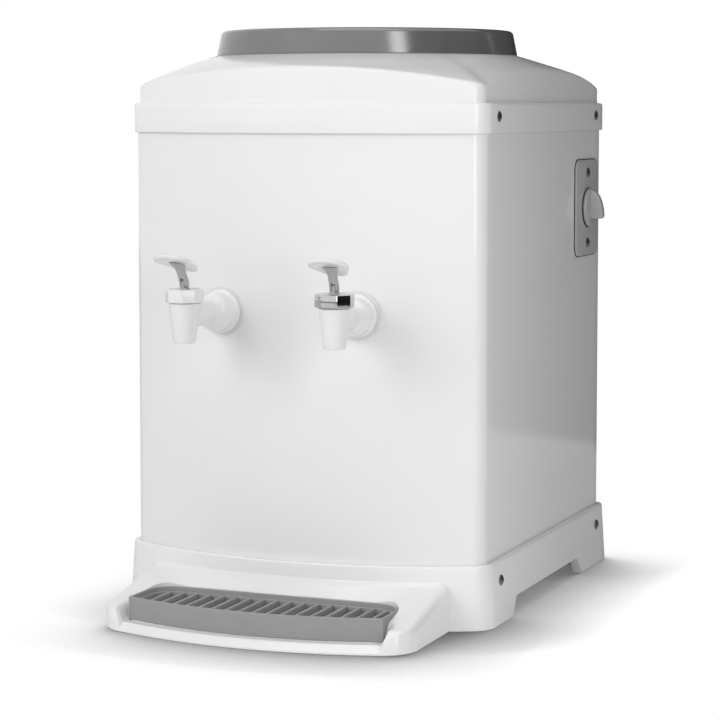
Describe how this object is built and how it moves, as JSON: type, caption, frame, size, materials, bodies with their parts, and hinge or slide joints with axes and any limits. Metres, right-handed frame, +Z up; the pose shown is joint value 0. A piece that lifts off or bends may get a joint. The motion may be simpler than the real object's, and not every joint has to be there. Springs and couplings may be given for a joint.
{
  "type": "countertop water cooler",
  "caption": "Countertop water cooler: bow-fronted white cabinet with a domed cover and a bottle collar, lever taps over a drip shelf and tray, chilled tank inside.",
  "frame": {"origin": "on the floor under the middle of the part's bounding box", "axes": "+Z up, -Y to the front with the taps, +X to the side with the thermostat knob"},
  "size_m": [0.325, 0.4539, 0.467],
  "materials": {
    "white_plastic": "moulded white plastic, satin gloss",
    "white_sheet": "white powder coat, fine texture",
    "collar_grey": "dark grey plastic, satin",
    "tray_grey": "mid grey plastic, matt",
    "plate_grey": "pale grey plastic, matt",
    "chrome": "bright chrome plate",
    "steel": "bare steel",
    "copper": "bare copper tube",
    "black_paint": "black paint",
    "black_plastic": "black plastic",
    "black_rubber": "black rubber",
    "pale_rubber": "pale silicone rubber",
    "foam": "moulded foam"
  },
  "bodies": {
    "cabinet": {"base_pan": "white_plastic", "top_cover": "white_plastic", "bottle_funnel": "white_plastic", "left_tap_body": "white_plastic", "right_tap_body": "white_plastic", "left_tap_ring": "white_plastic", "left_tap_nut": "white_plastic", "right_tap_nut": "white_plastic", "baffle_plate": "white_plastic", "wrap_panel": "white_sheet", "rear_panel": "white_sheet", "bottle_collar": "collar_grey", "thermostat_plate": "plate_grey", "thermostat": "plate_grey", "right_tap_ring": "chrome", "water_tank": "steel", "tank_frame": "steel", "compressor_bolts": "steel", "plate_screws": "steel", "cover_screws": "steel", "base_screws": "steel", "rear_screws": "steel", "evaporator_coil": "copper", "filter_drier": "copper", "suction_pipe": "copper", "discharge_pipe": "copper", "sensor_tube": "copper", "compressor": "black_paint", "condenser": "black_paint", "terminal_box": "black_plastic", "cord_gland": "black_plastic", "compressor_grommets": "black_rubber", "tank_gasket": "pale_rubber", "left_tap_gasket": "pale_rubber", "right_tap_gasket": "pale_rubber", "left_hose": "pale_rubber", "right_hose": "pale_rubber", "front_insulation": "foam", "rear_insulation": "foam"},
    "knob": {"thermostat_knob": "white_plastic"},
    "tray": {"drip_tray": "tray_grey"},
    "grille": {"drip_grille": "tray_grey"},
    "left_valve": {"left_plunger": "white_plastic", "left_tap_seal": "pale_rubber", "left_lever_pin": "steel", "left_tap_spring": "steel"},
    "left_lever": {"left_lever": "white_plastic"},
    "right_valve": {"right_plunger": "white_plastic", "right_tap_seal": "pale_rubber", "right_lever_pin": "steel", "right_tap_spring": "steel"},
    "right_lever": {"right_lever": "white_plastic"}
  },
  "joints": [
    {"name": "left_valve_lift", "type": "slide", "parent": "cabinet", "child": "left_valve", "axis": [0, 0, 1], "range_m": [0, 0.0036], "deforming": ["left_tap_spring"]},
    {"name": "left_lever_press", "type": "hinge", "parent": "left_valve", "child": "left_lever", "pos_m": [-0.06657, -0.18464, 0.2698], "axis": [0.9957, -0.0924, 0], "range_deg": [0, 25], "stiffness_Nm_per_rad": 0.0576, "springref_deg": -35.81},
    {"name": "right_valve_lift", "type": "slide", "parent": "cabinet", "child": "right_valve", "axis": [0, 0, 1], "range_m": [0, 0.0036], "deforming": ["right_tap_spring"]},
    {"name": "right_lever_press", "type": "hinge", "parent": "right_valve", "child": "right_lever", "pos_m": [0.05796, -0.18464, 0.2698], "axis": [0.9957, 0.0924, 0], "range_deg": [0, 25], "stiffness_Nm_per_rad": 0.0576, "springref_deg": -35.81},
    {"name": "knob_turn", "type": "hinge", "parent": "cabinet", "child": "knob", "pos_m": [0.14799, 0.173, 0.317], "axis": [1, 0, 0], "range_deg": [-135, 135]},
    {"name": "tray_lift", "type": "slide", "parent": "cabinet", "child": "tray", "axis": [0, 0, 1], "range_m": [0, 0.05]},
    {"name": "grille_lift", "type": "slide", "parent": "tray", "child": "grille", "axis": [0, 0, 1], "range_m": [0, 0.03]}
  ],
  "couplings": [
    {"joint": "left_valve_lift", "follows": "left_lever_press", "m_per_rad": 0.008},
    {"joint": "right_valve_lift", "follows": "right_lever_press", "m_per_rad": 0.008}
  ]
}
